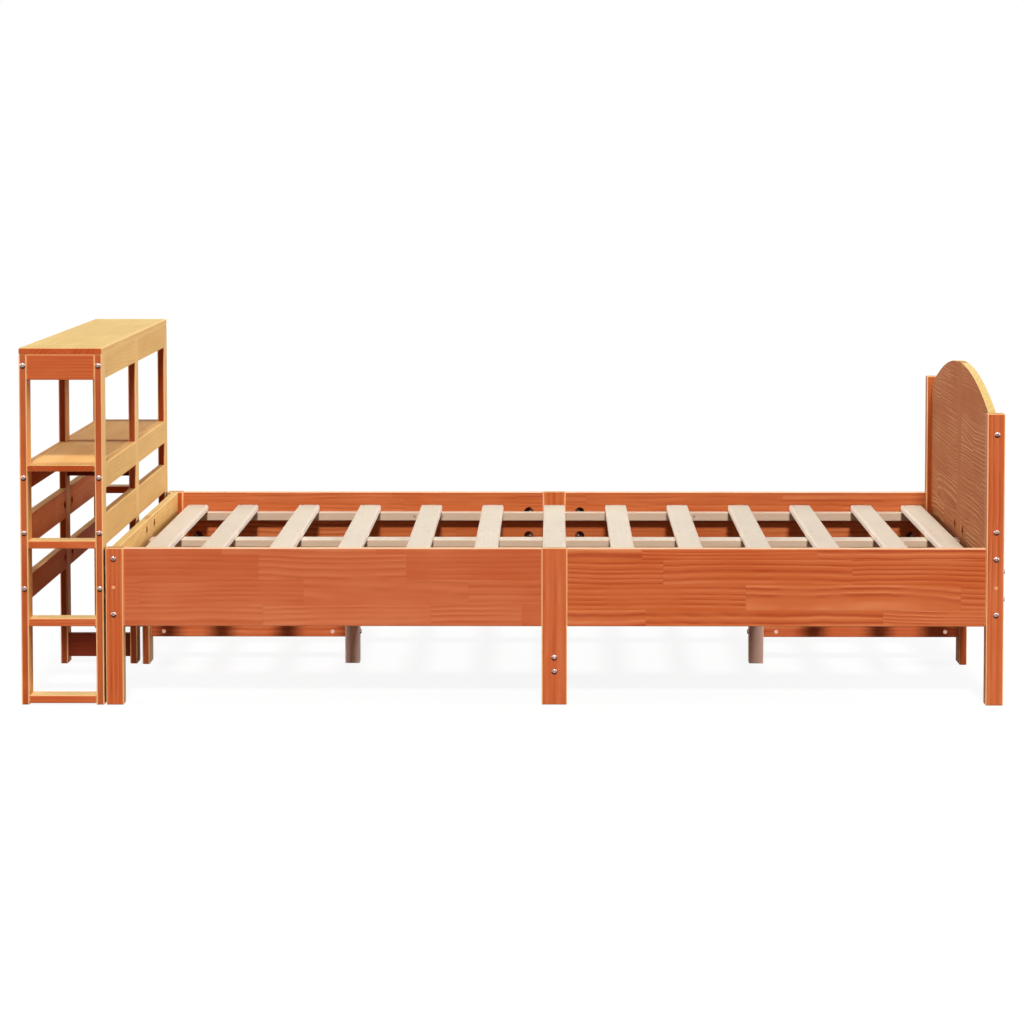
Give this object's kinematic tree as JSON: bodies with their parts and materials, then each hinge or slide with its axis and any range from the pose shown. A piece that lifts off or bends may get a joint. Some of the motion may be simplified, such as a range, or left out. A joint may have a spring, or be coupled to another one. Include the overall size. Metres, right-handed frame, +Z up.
{
  "type": "wooden bed frame with bookcase headboard",
  "caption": "Stained pine bed frame with slats, an arched foot panel, a mid leg on each side and an open bookcase standing at the head.",
  "frame": {"origin": "middle of the whole outline, on the floor under the bed and its bookcase", "axes": "+X from the head with the bookcase towards the foot, +Y from the near long side to the far one, +Z up"},
  "size_m": [2.2534, 1.263, 0.82],
  "materials": {
    "stained_pine": "orange-brown wax stain, satin",
    "natural_pine": "bare planed pine",
    "nickel_steel": "nickel plated, satin"
  },
  "bodies": {
    "root": {"head_post_near": "stained_pine", "head_post_far": "stained_pine", "foot_post_near": "stained_pine", "foot_post_far": "stained_pine", "mid_leg_near": "stained_pine", "mid_leg_far": "stained_pine", "head_centre_leg": "stained_pine", "foot_centre_stile": "stained_pine", "side_rail_near_head": "stained_pine", "side_rail_near_foot": "stained_pine", "side_rail_far_head": "stained_pine", "side_rail_far_foot": "stained_pine", "head_board_near": "stained_pine", "head_board_far": "stained_pine", "foot_board_near": "stained_pine", "foot_board_far": "stained_pine", "foot_arch_near": "stained_pine", "foot_arch_far": "stained_pine", "low_brace_head": "stained_pine", "low_brace_foot": "stained_pine", "low_cross_brace": "stained_pine", "bookcase_post_back_near": "stained_pine", "bookcase_post_back_mid": "stained_pine", "bookcase_post_back_far": "stained_pine", "bookcase_post_front_near": "stained_pine", "bookcase_post_front_mid": "stained_pine", "bookcase_post_front_far": "stained_pine", "bookcase_top": "stained_pine", "bookcase_shelf_near": "stained_pine", "bookcase_shelf_far": "stained_pine", "bookcase_near_rungs": "stained_pine", "bookcase_mid_boards": "stained_pine", "bookcase_far_rungs": "stained_pine", "bookcase_rails_back_near": "stained_pine", "bookcase_rails_back_far": "stained_pine", "bookcase_rails_front_near": "stained_pine", "bookcase_rails_front_far": "stained_pine", "side_cleats_near": "natural_pine", "side_cleats_far": "natural_pine", "centre_beam": "natural_pine", "support_leg_head": "natural_pine", "support_leg_foot": "natural_pine", "dowels": "natural_pine", "slat_01": "natural_pine", "slat_02": "natural_pine", "slat_03": "natural_pine", "slat_04": "natural_pine", "slat_05": "natural_pine", "slat_06": "natural_pine", "slat_07": "natural_pine", "slat_08": "natural_pine", "slat_09": "natural_pine", "slat_10": "natural_pine", "slat_11": "natural_pine", "slat_12": "natural_pine", "slat_13": "natural_pine", "bolts": "nickel_steel", "joining_rods": "nickel_steel", "nuts": "nickel_steel", "screws": "nickel_steel"}
  },
  "joints": []
}
